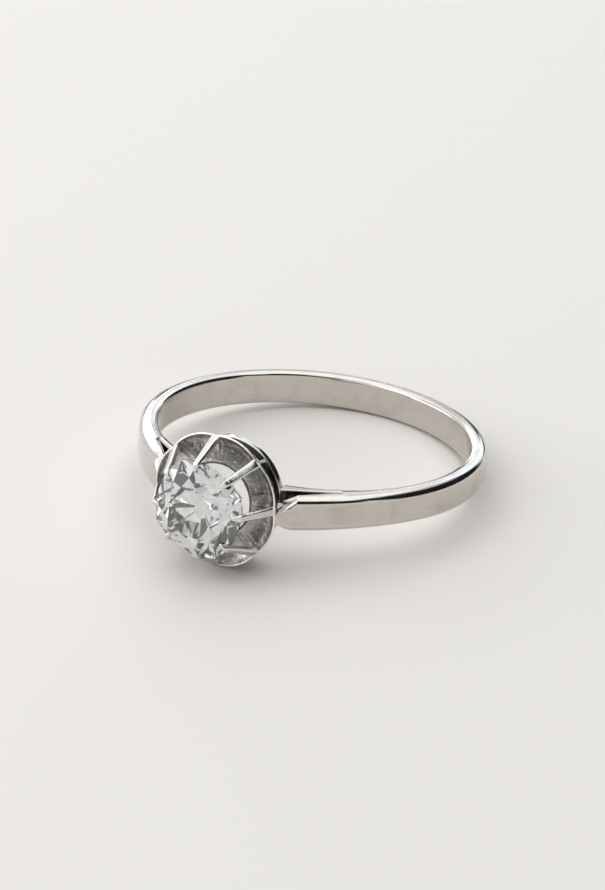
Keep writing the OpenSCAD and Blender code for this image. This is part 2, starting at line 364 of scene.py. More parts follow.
class Graph:
    """A material's nodes, with short calls to add and join them."""

    def __init__(self, name: str) -> None:
        """Starts an empty node graph with one surface shader.

        Args:
            name: Name of the material.
        """
        self.material = bpy.data.materials.new(name)
        self.material.use_nodes = True
        self.tree = self.material.node_tree
        self.tree.nodes.clear()
        self.output = self.tree.nodes.new("ShaderNodeOutputMaterial")
        self.shader = self.tree.nodes.new("ShaderNodeBsdfPrincipled")
        self.join(self.shader, "BSDF", self.output, "Surface")

    def add(self, kind: str, settings: dict | None = None, **inputs: object) -> bpy.types.Node:
        """Adds a node.

        Args:
            kind: Blender's name of the node type.
            settings: Attributes of the node itself.
            **inputs: Values of its sockets, with _ for a space in the socket's name.

        Returns:
            The new node.
        """
        node = self.tree.nodes.new(kind)
        for key, value in (settings or {}).items():
            setattr(node, key, value)
        for key, value in inputs.items():
            node.inputs[key.replace("_", " ")].default_value = value
        return node

    def join(self, source: bpy.types.Node, output: str | int, target: bpy.types.Node,
             socket: str | int) -> None:
        """Joins one node's output to another's socket."""
        self.tree.links.new(source.outputs[output], target.inputs[socket])

    def texture(self, kind: str, place: bpy.types.Node, **inputs: object) -> bpy.types.Node:
        """Adds a texture or a mapping that takes its place from another node's vector.

        Args:
            kind: Blender's name of the node type.
            place: Node whose Vector output gives the place.
            **inputs: Values of the new node's sockets.

        Returns:
            The new node.
        """
        node = self.add(kind, **inputs)
        self.join(place, "Vector", node, "Vector")
        return node

    def mix(self, share: bpy.types.Node, second: Colour) -> bpy.types.Node:
        """Adds a mix towards a second colour.

        Args:
            share: Node whose Value output gives the second colour's share.
            second: The second colour.

        Returns:
            The node, whose A input is still free.
        """
        node = self.add("ShaderNodeMix", {"data_type": "RGBA"})
        node.inputs["B"].default_value = (*second, 1.0)
        self.join(share, "Value", node, "Factor")
        return node

    def ramp(self, source: bpy.types.Node, output: str | int, low: float, high: float) -> bpy.types.Node:
        """Adds a smooth step of a value: 0 up to low and 1 from high on.

        Args:
            source: Node that gives the value.
            output: Its output.
            low: Value that becomes 0.
            high: Value that becomes 1.

        Returns:
            The node, whose Result output holds the step.
        """
        node = self.add("ShaderNodeMapRange", {"interpolation_type": "SMOOTHSTEP"},
                        From_Min=low, From_Max=high)
        self.join(source, output, node, "Value")
        return node

    def sum(self, terms: list[tuple[bpy.types.Node, str | int, float]],
            start: float = 0.0) -> bpy.types.Node:
        """Adds up scaled values.

        Args:
            terms: Node, output and factor of each term.
            start: Constant to start from.

        Returns:
            The last node, whose Value output holds the sum.
        """
        last: bpy.types.Node | None = None
        for node, output, factor in terms:
            term = self.add("ShaderNodeMath", {"operation": "MULTIPLY_ADD"})
            self.join(node, output, term, 0)
            term.inputs[1].default_value = factor
            if last is None:
                term.inputs[2].default_value = start
            else:
                self.join(last, "Value", term, 2)
            last = term
        return last


class Finish:
    """A finish that is made once and shared by all the pieces that wear it."""

    name: str

    def make(self) -> bpy.types.Material:
        """Builds the material; each kind of finish has its own."""
        raise NotImplementedError

    def material(self) -> bpy.types.Material:
        """The Blender material, made at the first call."""
        found = bpy.data.materials.get(self.name)
        return found or self.make()


@dataclass(frozen=True)
class PolishedMetal(Finish):
    """Polished white metal with hairline scratches, faint cloudy wear and small pits; its edges and nicks
    are burnished and also painted bright as highlights and glints.

    Attributes:
        name: Name of the material.
        colour: Reflectance of the clean metal.
        worn: Reflectance where it is worn or lightly tarnished.
        roughness: Roughness of the clean polish.
        wear: Extra roughness in the worn clouds.
        scratch_roughness: Extra roughness in the scratches.
        scratch_relief: Strength of the scratches' relief.
        cloud_scale: Worn clouds per millimetre.
        scratch_scale: Scratches per millimetre across their run.
        coverage: How much of the surface carries scratches, from 0 to 1.
        run: Direction of the longest scratches from the piece's length, in degrees.
        streaks: How strongly soft streaks along that direction darken the metal.
        waviness: Strength of the slow waves that hand polishing leaves.
        edge: Reflectance of the burnished edges and nicks, set bright as painted highlight and glints.
        nicks_and_glints: How bright the small nicks of the graver are painted, as glints, from 0 to 1; it
            also sets their relief.
        seed: Offset that gives each finish its own pattern.
        hairlines: Sets of scratches: turn from the run in degrees, length over width, depth.
        streak_size: Length and width of the soft streaks in millimetres.
        grain_scale: Grains per millimetre.
        pit_scale: Pits per millimetre.
        nick_and_glint_scale: Nicks, with their painted glints, per millimetre.
    """

    name: str
    colour: Colour
    worn: Colour
    roughness: float = 0.09
    wear: float = 0.1
    scratch_roughness: float = 0.12
    scratch_relief: float = 0.1
    cloud_scale: float = 0.8
    scratch_scale: float = 14.0
    coverage: float = 0.5
    run: float = 4.0
    streaks: float = 0.25
    waviness: float = 0.05
    edge: Colour = (0.70, 0.67, 0.625)
    nicks_and_glints: float = 0.0
    seed: float = 0.0
    hairlines: tuple[tuple[float, float, float], ...] = ((0, 26, 1), (33, 18, 0.8), (-56, 20, 0.6))
    streak_size: tuple[float, float] = (3.0, 0.16)
    grain_scale: float = 22.0
    pit_scale: float = 3.4
    nick_and_glint_scale: float = 2.3

    def scratches(self, graph: Graph, surface: bpy.types.Node, turn: float,
                  stretch: float) -> bpy.types.Node:
        """Adds one set of near-parallel hairlines.

        A noise is stretched along one direction of the unrolled surface, and its narrow crests are kept.

        Args:
            graph: Graph to add to.
            surface: Node whose UV output gives the place on the unrolled surface.
            turn: Direction of the lines in degrees from the piece's length.
            stretch: How many times longer than wide the lines are.

        Returns:
            Node whose Result output is 1 in a scratch.
        """
        across = MM / self.scratch_scale
        place = graph.add("ShaderNodeMapping", {"vector_type": "TEXTURE"},
                          Rotation=(0, 0, math.radians(turn)), Location=(self.seed, turn, self.seed),
                          Scale=(across * stretch, across, 1.0))
        graph.join(surface, "UV", place, "Vector")
        noise = graph.texture("ShaderNodeTexNoise", place, Scale=1.0, Detail=3.0, Roughness=0.55)
        low = 0.74 - 0.16 * self.coverage
        return graph.ramp(noise, "Fac", low, low + 0.08)

    def brushing(self, graph: Graph, surface: bpy.types.Node) -> bpy.types.Node:
        """Adds soft streaks along the direction of the longest scratches.

        Args:
            graph: Graph to add to.
            surface: Node whose UV output gives the place on the unrolled surface.

        Returns:
            Node whose Result output is 1 in a streak.
        """
        length, width = self.streak_size
        place = graph.add("ShaderNodeMapping", {"vector_type": "TEXTURE"}, Location=(self.seed, 0, 0),
                          Rotation=(0, 0, math.radians(self.run)), Scale=(length * MM, width * MM, 1.0))
        graph.join(surface, "UV", place, "Vector")
        streak = graph.texture("ShaderNodeTexNoise", place, Scale=1.0, Detail=4.0, Roughness=0.6)
        return graph.ramp(streak, "Fac", 0.45, 0.7)

    def make(self) -> bpy.types.Material:
        """Builds the material: its marks first, then its colour, its roughness and its relief from them.

        Returns:
            The material.
        """
        graph = Graph(self.name)
        where = graph.add("ShaderNodeTexCoord")
        solid = graph.add("ShaderNodeMapping", Scale=(1 / MM,) * 3, Location=(self.seed, 3 * self.seed, 0))
        graph.join(where, "Object", solid, "Vector")
        cloud = graph.texture("ShaderNodeTexNoise", solid, Scale=self.cloud_scale, Detail=5.0, Roughness=0.6)
        clouds = graph.ramp(cloud, "Fac", 0.42, 0.72)
        grain = graph.texture("ShaderNodeTexNoise", solid, Scale=self.grain_scale, Detail=3.0, Roughness=0.7)
        pit = graph.texture("ShaderNodeTexVoronoi", solid, Scale=self.pit_scale)
        pits = graph.ramp(pit, "Distance", 0.1, 0.03)
        # Graver nicks: real relief, with their colour painted bright as glints.
        nick_and_glint_cells = graph.texture("ShaderNodeTexVoronoi", solid, Scale=self.nick_and_glint_scale)
        nicks_and_glints = graph.ramp(nick_and_glint_cells, "Distance", 0.17, 0.09)
        edge = graph.add("ShaderNodeAttribute", {"attribute_name": "edge"})
        streaks = self.brushing(graph, where)
        hairlines = [(self.scratches(graph, where, self.run + turn, stretch), depth)
                     for turn, stretch, depth in self.hairlines]

        shade = graph.sum([(clouds, "Result", 0.55), (grain, "Fac", 0.25), (pits, "Result", 0.5),
                           (streaks, "Result", self.streaks)])
        colour = graph.mix(shade, self.worn)
        colour.inputs["A"].default_value = (*self.colour, 1.0)
        # Painted highlight and glints: rounded edges and nicks are mixed towards the bright edge colour, on
        # top of burnished wear.
        bright = graph.sum([(edge, "Fac", 1.0), (nicks_and_glints, "Result", self.nicks_and_glints)])
        rubbed_and_highlit = graph.mix(bright, self.edge)
        graph.join(colour, "Result", rubbed_and_highlit, "A")
        graph.join(rubbed_and_highlit, "Result", graph.shader, "Base Color")

        rough = graph.sum([(clouds, "Result", self.wear), (grain, "Fac", 0.04), (streaks, "Result", 0.05)]
                          + [(line, "Result", depth * self.scratch_roughness) for line, depth in hairlines],
                          self.roughness - 0.02)
        graph.join(rough, "Value", graph.shader, "Roughness")

        relief = graph.sum([(line, "Result", -depth) for line, depth in hairlines]
                           + [(grain, "Fac", 0.12), (pits, "Result", -1.2),
                              (nicks_and_glints, "Result", 1.5 * self.nicks_and_glints)])
        waves = graph.add("ShaderNodeBump", Strength=self.waviness, Distance=0.06 * MM)
        graph.join(cloud, "Fac", waves, "Height")
        bump = graph.add("ShaderNodeBump", Strength=self.scratch_relief, Distance=0.01 * MM)
        graph.join(waves, "Normal", bump, "Normal")
        graph.join(relief, "Value", bump, "Height")
        graph.join(bump, "Normal", graph.shader, "Normal")
        graph.shader.inputs["Metallic"].default_value = 1.0
        return graph.material


@dataclass(frozen=True)
class CutStone(Finish):
    """A colourless stone with polished facets, faint polishing lines and a trace of dust.

    Attributes:
        name: Name of the material.
        colour: Tint of the light that passes through.
        index: Index of refraction.
        dust: Roughness of the dustiest spots.
    """

    name: str = "old_cut_stone"
    colour: Colour = (0.80, 0.808, 0.765)
    index: float = 2.42
    dust: float = 0.03

    def make(self) -> bpy.types.Material:
        """Builds the material: specks of dust make it rough, and fine lines give it relief.

        Returns:
            The material.
        """
        graph = Graph(self.name)
        where = graph.add("ShaderNodeTexCoord")
        solid = graph.add("ShaderNodeMapping", Scale=(1 / MM,) * 3)
        graph.join(where, "Object", solid, "Vector")
        speck = graph.texture("ShaderNodeTexNoise", solid, Scale=5.0, Detail=6.0, Roughness=0.7)
        specks = graph.ramp(speck, "Fac", 0.62, 0.75)
        rough = graph.sum([(specks, "Result", self.dust)])
        graph.join(rough, "Value", graph.shader, "Roughness")
        lines = graph.texture("ShaderNodeMapping", solid, Rotation=(0.4, 0.2, 0.7), Scale=(6, 0.4, 6))
        line = graph.texture("ShaderNodeTexNoise", lines, Scale=9.0, Detail=2.0)
        bump = graph.add("ShaderNodeBump", Strength=0.02, Distance=0.002 * MM)
        graph.join(line, "Fac", bump, "Height")
        graph.join(bump, "Normal", graph.shader, "Normal")
        graph.shader.inputs["Base Color"].default_value = (*self.colour, 1.0)
        graph.shader.inputs["Transmission Weight"].default_value = 1.0
        graph.shader.inputs["IOR"].default_value = self.index
        return graph.material


@dataclass(frozen=True)
class MattCard(Finish):
    """Matt card.

    Attributes:
        name: Name of the material.
        colour: Colour of the card.
    """

    name: str
    colour: Colour

    def make(self) -> bpy.types.Material:
        """Builds the material.

        Returns:
            The material.
        """
        graph = Graph(self.name)
        graph.shader.inputs["Base Color"].default_value = (*self.colour, 1.0)
        graph.shader.inputs["Roughness"].default_value = 0.9
        graph.shader.inputs["Specular IOR Level"].default_value = 0.0
        return graph.material


@dataclass(frozen=True)
class PaleFloor(Finish):
    """Plain pale matt floor, which shows only from above so that it never hides the ring from below.

    Attributes:
        name: Name of the material.
        colour: Colour of the floor.
    """

    name: str = "pale_floor"
    colour: Colour = (0.895, 0.85, 0.806)

    def make(self) -> bpy.types.Material:
        """Builds the material, which mixes in a clear shader on the side that faces down.

        Returns:
            The material.
        """
        graph = Graph(self.name)
        graph.shader.inputs["Base Color"].default_value = (*self.colour, 1.0)
        graph.shader.inputs["Roughness"].default_value = 0.75
        graph.shader.inputs["Specular IOR Level"].default_value = 0.25
        side = graph.add("ShaderNodeNewGeometry")
        clear = graph.add("ShaderNodeBsdfTransparent")
        pick = graph.add("ShaderNodeMixShader")
        graph.join(side, "Backfacing", pick, "Fac")
        graph.join(graph.shader, "BSDF", pick, 1)
        graph.join(clear, "BSDF", pick, 2)
        graph.join(pick, "Shader", graph.output, "Surface")
        return graph.material


# Each metal's edge colour is burnished wear and painted highlight, laid on its rounded edges and nicks.
WHITE_METAL = PolishedMetal("polished_white_metal", (0.64, 0.60, 0.548), (0.50, 0.455, 0.40), seed=1.0)
GALLERY_METAL = PolishedMetal("gallery_white_metal", (0.62, 0.595, 0.56), (0.38, 0.35, 0.31), roughness=0.12,
                              wear=0.14, cloud_scale=1.6, waviness=0.2, seed=4.0)
# Collar: dark patina in its recess, darkened further as painted shade of the recess under the cup.
COLLAR_PATINA_AND_SHADE = PolishedMetal("recessed_dull_metal", (0.20, 0.185, 0.17), (0.07, 0.062, 0.055),
                             roughness=0.24, wear=0.2, cloud_scale=2.4, edge=(0.4, 0.38, 0.35), seed=5.0)
# Petals: edges and graver nicks painted near white as highlights and glints.
PETAL_METAL = PolishedMetal("petal_bright_cut", (0.69, 0.672, 0.648), (0.13, 0.105, 0.085), roughness=0.05,
                            wear=0.1, scratch_relief=0.5, cloud_scale=1.5, scratch_scale=10.0, coverage=0.8,
                            run=90.0, streaks=0.5, waviness=1.5, edge=(0.9, 0.88, 0.85), nicks_and_glints=0.8, seed=7.0)
# Claws: edges painted near white as highlights.
CLAW_METAL = PolishedMetal("claw_white_metal", (0.66, 0.64, 0.62), (0.46, 0.43, 0.40), roughness=0.1,
                           scratch_relief=0.4, cloud_scale=3.0, waviness=0.3, edge=(0.88, 0.86, 0.83),
                           seed=10.0)
STONE = CutStone()
FLOOR = PaleFloor()
DARK_CARD = MattCard("dark_card", (0.02, 0.02, 0.022))
GREY_CARD = MattCard("grey_card", (0.10, 0.10, 0.105))


# ---------------------------------------------------------------------------------------------------
# The ring


def box_mm(node: str) -> tuple[Array, Array]:
    """Lowest and highest corner of a CAD node in millimetres."""
    low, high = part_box(node)
    return np.array(low) / MM, np.array(high) / MM


@dataclass
class Hoop:
    """Sizes that the shank and its branches share.

    Attributes:
        hole_r: Radius of the finger hole.
        hoop_r: Outer radius of the shank at the back.
        half_width: Half the shank's width along the finger.
        outer_round: Radius of the outer edges.
        inner_round: Radius of the edges of the finger hole.
        crown: How far the flat sides swell in the middle.
        shoulder_start: Angle at which the shoulders leave the round hoop, in degrees.
        fork_angle: Angle at which each shoulder forks, in degrees.
        curve_r: Radius of the shoulder's outer face.
        crotch_height: Height of the fork's crotch above the finger hole.
    """

    hole_r: float
    hoop_r: float
    half_width: float
    outer_round: float = 0.4
    inner_round: float = 0.22
    crown: float = 0.03
    shoulder_start: float = 65.0
    fork_angle: float = 39.0
    curve_r: float = 16.0
    crotch_height: float = 0.5

    @classmethod
    def measured(cls) -> "Hoop":
        """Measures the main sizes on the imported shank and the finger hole's mount.

        Returns:
            The hoop, with those sizes.
        """
        low, high = box_mm("shank")
        hole = next(m for m in frame["record"]["mounts"] if m["name"] == "finger_hole")
        half_width = float(high[2] - low[2]) / 2
        return cls(hole_r=hole["dims"]["r_mm"], hoop_r=float(high[1]), half_width=half_width)

    def shoulder_r(self, angle: Array) -> Array:
        """Outer radius of the shoulder at an angle.

        The face is an arc of radius R that leaves the hoop's circle at a tangent at the shoulder's start:
        with d = R - hoop radius and q = d cos(angle - start) it is sqrt(q^2 - d^2 + R^2) - q.

        Args:
            angle: Angles in degrees.

        Returns:
            Radii in millimetres.
        """
        d = self.curve_r - self.hoop_r
        q = d * np.cos(np.radians(angle - self.shoulder_start))
        return np.sqrt(q * q - d * d + self.curve_r**2) - q

    def outer_r(self, angle: Array) -> Array:
        """Outer radius all the way round: the hoop's at the back, the shoulder's from its start on."""
        turn = np.minimum(angle, 360 - angle)
        return np.where(turn < self.shoulder_start, self.shoulder_r(turn), self.hoop_r)


@dataclass(frozen=True)
class BarSection:
    """Half of a bar's cross-section, from the middle of its inner face to the middle of its outer face.

    All the sizes are arrays with one value per station along the bar.

    Attributes:
        inner: Radius of the inner face.
        outer: Radius of the outer face.
        inner_half: Half width at the inner edge.
        bevel_half: Half width where the outer edge's rounding starts.
        edge_half: Half width of the outer face.
        inner_round: Radius of the inner edges.
        outer_round: Radius of the outer edges.
        close: 0 where the outer edge is a quarter round, 1 where it is a straight bevel.
        crown: How far the flat side swells in the middle.
    """

    inner: Array
    outer: Array
    inner_half: Array
    bevel_half: Array
    edge_half: Array
    inner_round: Array
    outer_round: Array
    close: Array
    crown: float

    def points(self) -> Array:
        """Whole section of each station.

        The half section is the inner face, an inner quarter round (r + e(1 - cos t), h - e(1 - sin t)), the
        side with a swell of 4 c t (1 - t), the outer quarter round or bevel, and the outer face. The other
        half is its mirror image, walked back.

        Returns:
            Radius and height of each point, shape (stations, points, 2).
        """
        inner, outer, inner_half, bevel_half, edge_half, e, b, close = (
            size.reshape(-1, 1) for size in (self.inner, self.outer, self.inner_half, self.bevel_half,
                                             self.edge_half, self.inner_round, self.outer_round, self.close))
        face = np.linspace(0.12, 1, 7)[None]
        side = np.linspace(0, 1, 14)[None, 1:-1]
        turn = np.radians(np.linspace(0, 90, 9))[None]
        share = np.linspace(0, 1, 9)[None]
        top, low = inner_half - self.crown, bevel_half - self.crown
        parts = [
            (inner + 0 * face, (top - e) * face),
            (inner + e * (1 - np.cos(turn)), top - e * (1 - np.sin(turn))),
            (inner + e + (outer - b - inner - e) * side,
             top + (low - top) * side + 4 * self.crown * side * (1 - side)),
            (outer - b + b * (np.sin(turn) * (1 - close) + share * close),
             edge_half + (low - edge_half) * (np.cos(turn) * (1 - close) + (1 - share) * close)),
            (outer + 0 * face, edge_half * face[:, ::-1]),
        ]
        r, h = (np.concatenate(column, axis=1) for column in zip(*parts))
        keep = np.concatenate([[True], np.hypot(np.diff(r[0]), np.diff(h[0])) > 1e-6])
        half = np.stack([r, h], -1)[:, keep]
        other = half[:, ::-1] * np.array([1.0, -1.0])
        return np.concatenate([half, other], axis=1)


def ring_loops(section: Array, angle: Array) -> Array:
    """Carries sections of radius and height round the finger's axis.

    The point (r, h) at angle a is (r sin a, -r cos a, h).

    Args:
        section: Sections, shape (stations, points, 2).
        angle: Angle of each station or of each point, in degrees.

    Returns:
        Points in the ring's frame, shape (stations, points, 3).
    """
    a = np.radians(angle)
    if a.ndim == 1:
        a = a[:, None]
    r, h = section[..., 0], section[..., 1]
    return np.stack([r * np.sin(a), -r * np.cos(a), h], -1)


@dataclass
class Shank:
    """The round shank, from one fork round the back to the other.

    Attributes:
        hoop: Sizes of the shank.
        stations: Stations round it.
    """

    hoop: Hoop
    stations: int = 420

    def build(self) -> bpy.types.Object:
        """Makes the shank's surface.

        Returns:
            The shank.
        """
        hoop = self.hoop
        angle = np.linspace(hoop.fork_angle, 360 - hoop.fork_angle, self.stations)
        same = np.ones(self.stations)
        section = BarSection(
            inner=same * hoop.hole_r, outer=hoop.outer_r(angle), inner_half=same * hoop.half_width,
            bevel_half=same * hoop.half_width, edge_half=same * (hoop.half_width - hoop.outer_round),
            inner_round=same * hoop.inner_round, outer_round=same * hoop.outer_round, close=0 * same,
            crown=hoop.crown)
        skin = sweep(ring_loops(section.points(), angle))
        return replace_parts(add_piece("round_shank", skin, Slot.WHITE_METAL, WHITE_METAL), "shank")


def add_branch(name: str, node: str, side: Side, skin: Skin, crease: float) -> bpy.types.Object:
    """Adds a branch of the forked shank on its own side of the ring.

    Args:
        name: Name of the piece, without its side.
        node: CAD node that it replaces, without its side.
        side: Side of the ring.
        skin: The right-hand branch.
        crease: Angle in degrees past which an edge stays crisp.

    Returns:
        The branch.
    """
    if side is Side.LEFT:
        skin = skin.mirrored()
    piece = add_piece(f"{name}_{side.value}", skin, Slot.WHITE_METAL, WHITE_METAL, crease=crease)
    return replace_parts(piece, f"{node}_{side.value}")


@dataclass
class Shoulder:
    """One upper branch of the forked shank, which narrows to a bevelled tip beside the cup.

    Attributes:
        hoop: Sizes of the shank.
        side: Side of the ring.
        tip_angle: Angle at which the branch ends, in degrees.
        tip_half_width: Half width of its inner edge at the tip.
        tip_thickness: Thickness at the tip.
        spread: Power with which the branch grows thinner towards the tip.
        taper_share: Share of its length after which it narrows.
        ridge_half_width: Half width of the ridge at the tip.
        inner_round: Radius of its inner edges.
        bevel_share: How far the bevel at the tip reaches from its inner edge to its ridge.
        lower_softening: Share of the outer round that the lower edge loses at the tip.
        stations: Stations along it.
    """

    hoop: Hoop
    side: Side
    tip_angle: float = 18.9
    tip_half_width: float = 0.55
    tip_thickness: float = 0.5
    spread: float = 1.6
    taper_share: float = 0.72
    ridge_half_width: float = 0.03
    inner_round: float = 0.07
    bevel_share: float = 0.6
    lower_softening: float = 0.5
    stations: int = 90

    def build(self) -> bpy.types.Object:
        """Makes the branch's surface.

        Along the branch, the inner face rises from the crotch to the tip with a power of the distance.
        Past the taper's share, the width closes towards the tip. The upper half narrows in a straight line
        while its quarter round turns into a bevel, and the lower half narrows with the square of the
        distance and stays round.

        Returns:
            The branch.
        """
        hoop = self.hoop
        f = np.linspace(0, 1, self.stations)
        angle = hoop.fork_angle + (self.tip_angle - hoop.fork_angle) * f
        close = np.clip((f - self.taper_share) / (1 - self.taper_share), 0, 1)
        crotch_r = hoop.hole_r + hoop.crotch_height
        tip_inner = hoop.shoulder_r(np.array(self.tip_angle)) - self.tip_thickness

        def bar(half: Array, edge: Array, bevel: Array) -> Array:
            """Points of the branch's sections with the given half widths and share of bevel."""
            return BarSection(
                inner=crotch_r + (tip_inner - crotch_r) * f**self.spread, outer=hoop.shoulder_r(angle),
                inner_half=half, bevel_half=half + (edge - half) * self.bevel_share * bevel,
                edge_half=edge, inner_round=self.inner_round + 0 * f, outer_round=hoop.outer_round + 0 * f,
                close=bevel, crown=hoop.crown).points()

        narrow = self.tip_half_width - hoop.half_width
        flat = hoop.half_width - hoop.outer_round
        upper = bar(hoop.half_width + narrow * close, flat + (self.ridge_half_width - flat) * close, close)
        low_half = hoop.half_width + narrow * close**2
        lower = bar(low_half, low_half - hoop.outer_round * (1 - self.lower_softening * close), 0 * f)
        points = np.where(upper[..., 1:] >= 0, upper, lower)
        return add_branch("upper_branch", "shoulder", self.side, sweep(ring_loops(points, angle)), 16.0)


@dataclass
class LowerBranch:
    """One lower branch, which follows the finger hole from the fork to the gallery rail.

    Attributes:
        hoop: Sizes of the shank.
        side: Side of the ring.
        end_x: How far from the middle of the setting it ends, inside the rail.
        flare: Rise of its outer face at the rail.
        edge_round: Radius of its outer edges.
        inner_share: Its inner edges' radius as a share of the shank's.
        crown_share: Its sides' swell as a share of the shank's.
        stations: Stations along it.
    """

    hoop: Hoop
    side: Side
    end_x: float = 2.84
    flare: float = 0.35
    edge_round: float = 0.08
    inner_share: float = 0.9
    crown_share: float = 0.5
    stations: int = 60

    def build(self) -> bpy.types.Object:
        """Makes the branch's surface.

        The outer face rises with the square of the distance. The last section lies in the plane x = end_x,
        so each point's angle goes from the fork's to asin(end_x / r).

        Returns:
            The branch.
        """
        hoop = self.hoop
        f = np.linspace(0, 1, self.stations)
        same = 1 + 0 * f
        section = BarSection(
            inner=same * hoop.hole_r, outer=hoop.hole_r + hoop.crotch_height + self.flare * f**2,
            inner_half=same * hoop.half_width, bevel_half=same * hoop.half_width,
            edge_half=same * (hoop.half_width - self.edge_round),
            inner_round=same * hoop.inner_round * self.inner_share, outer_round=same * self.edge_round,
            close=0 * f, crown=hoop.crown * self.crown_share).points()
        end = np.degrees(np.arcsin(self.end_x / section[..., 0]))
        angle = hoop.fork_angle + (end - hoop.fork_angle) * f[:, None]
        return add_branch("lower_prong", "lower_branch", self.side, sweep(ring_loops(section, angle)), 50.0)


@dataclass
class Setting:
    """Sizes and the frame that the cup, its claws and the stone share.

    Attributes:
        hole_r: Radius of the finger hole, from which heights are taken.
        turn: Turn of the setting about its own axis, in degrees.
        petals: Number of petals, and of claws.
        rail_r: Outer radius of the gallery rail.
        rail_wall: Radial thickness of the rail.
        rail_rise: Height of the rail's underside above the finger hole.
        rail_depth: Depth of the rail.
        neck_r: Outer radius of the collar's neck.
        neck_rise: Height of the neck's upper edge.
        rim_r: Radius of the cup's rim.
        rim_rise: Height of the cup's rim.
        stone_r: Mean radius of the stone.
        girdle_rise: Height of the girdle's lower edge.
    """

    hole_r: float
    turn: float = 5.0
    petals: int = 8
    rail_r: float = 3.06
    rail_wall: float = 0.34
    rail_rise: float = 0.02
    rail_depth: float = 0.4
    neck_r: float = 2.03
    neck_rise: float = 1.65
    rim_r: float = 3.44
    rim_rise: float = 1.95
    stone_r: float = 2.6
    girdle_rise: float = 3.53

    @property
    def pitch(self) -> float:
        """Angle between two claws in degrees."""
        return 360 / self.petals

    @property
    def rail_h(self) -> float:
        """Height of the rail's underside."""
        return self.hole_r + self.rail_rise

    @property
    def neck_h(self) -> float:
        """Height of the neck's upper edge."""
        return self.hole_r + self.neck_rise

    @property
    def rim_h(self) -> float:
        """Height of the cup's rim."""
        return self.hole_r + self.rim_rise

    @property
    def girdle_h(self) -> float:
        """Height of the girdle's lower edge."""
        return self.hole_r + self.girdle_rise

    def place(self, turn: float = 0.0) -> Callable[[Array], Array]:
        """The function that carries points from the setting's frame into the ring's.

        A point (x, y, h) is turned by the setting's own turn plus the given one, and then it becomes
        (x, -h, y).

        Args:
            turn: Extra turn in degrees.

        Returns:
            The function, which takes and gives arrays of points.
        """
        a = math.radians(self.turn + turn)
        spin = np.array([[math.cos(a), -math.sin(a), 0], [math.sin(a), math.cos(a), 0], [0, 0, 1]])
        stand = np.array([[1, 0, 0], [0, 0, -1], [0, 1, 0]])
        whole = stand @ spin
        return lambda points: points @ whole.T


@dataclass
class Gallery:
    """The gallery rail that the branches hold, and the tapered collar between it and the cup.

    Attributes:
        setting: Sizes of the setting.
        rail_round: Softness of the rail's edges.
        collar_round: Softness of the collar's edges and bends.
        collar_wall: Thickness of the collar's wall.
        foot_depth: Depth of the collar's straight foot.
        neck_depth: Depth of the collar's straight neck.
        crease: Angle in degrees past which an edge stays crisp.
        steps: Steps round the full turn.
    """

    setting: Setting
    rail_round: float = 0.09
    collar_round: float = 0.05
    collar_wall: float = 0.15
    foot_depth: float = 0.3
    neck_depth: float = 0.4
    crease: float = 60.0
    steps: int = 220

    def turned(self, profile: Array, name: str, finish: Finish) -> bpy.types.Object:
        """Turns a closed profile of radius and height about the setting's axis.

        Args:
            profile: The profile, shape (points, 2).
            name: Name of the piece.
            finish: Finish to dress it in.

        Returns:
            The piece.
        """
        skin = revolve(profile, self.steps).placed(self.setting.place())
        return add_piece(name, skin, Slot.GALLERY_METAL, finish, crease=self.crease)

    def build_rail(self) -> bpy.types.Object:
        """Makes the rail, a softened square section.

        Returns:
            The rail.
        """
        s = self.setting
        top, inner = s.rail_h + s.rail_depth, s.rail_r - s.rail_wall
        corners = np.array([[inner, s.rail_h], [s.rail_r, s.rail_h], [s.rail_r, top], [inner, top]])
        profile = softened(corners, self.rail_round, 7)
        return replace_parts(self.turned(profile, "round_rail", GALLERY_METAL), "gallery_rail")

    def build_collar(self) -> bpy.types.Object:
        """Makes the collar, a thin bent wall.

        Returns:
            The collar.
        """
        s = self.setting
        foot_out = s.rail_r - s.rail_wall
        foot_in, neck_in = foot_out - self.collar_wall, s.neck_r - self.collar_wall
        foot_top, neck_low = s.rail_h + self.foot_depth, s.neck_h - self.neck_depth
        corners = np.array([[foot_in, s.rail_h], [foot_out, s.rail_h], [foot_out, foot_top],
                            [s.neck_r, neck_low], [s.neck_r, s.neck_h], [neck_in, s.neck_h],
                            [neck_in, neck_low], [foot_in, foot_top]])
        profile = softened(corners, self.collar_round, 5)
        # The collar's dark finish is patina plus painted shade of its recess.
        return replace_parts(self.turned(profile, "open_collar", COLLAR_PATINA_AND_SHADE), "collar")


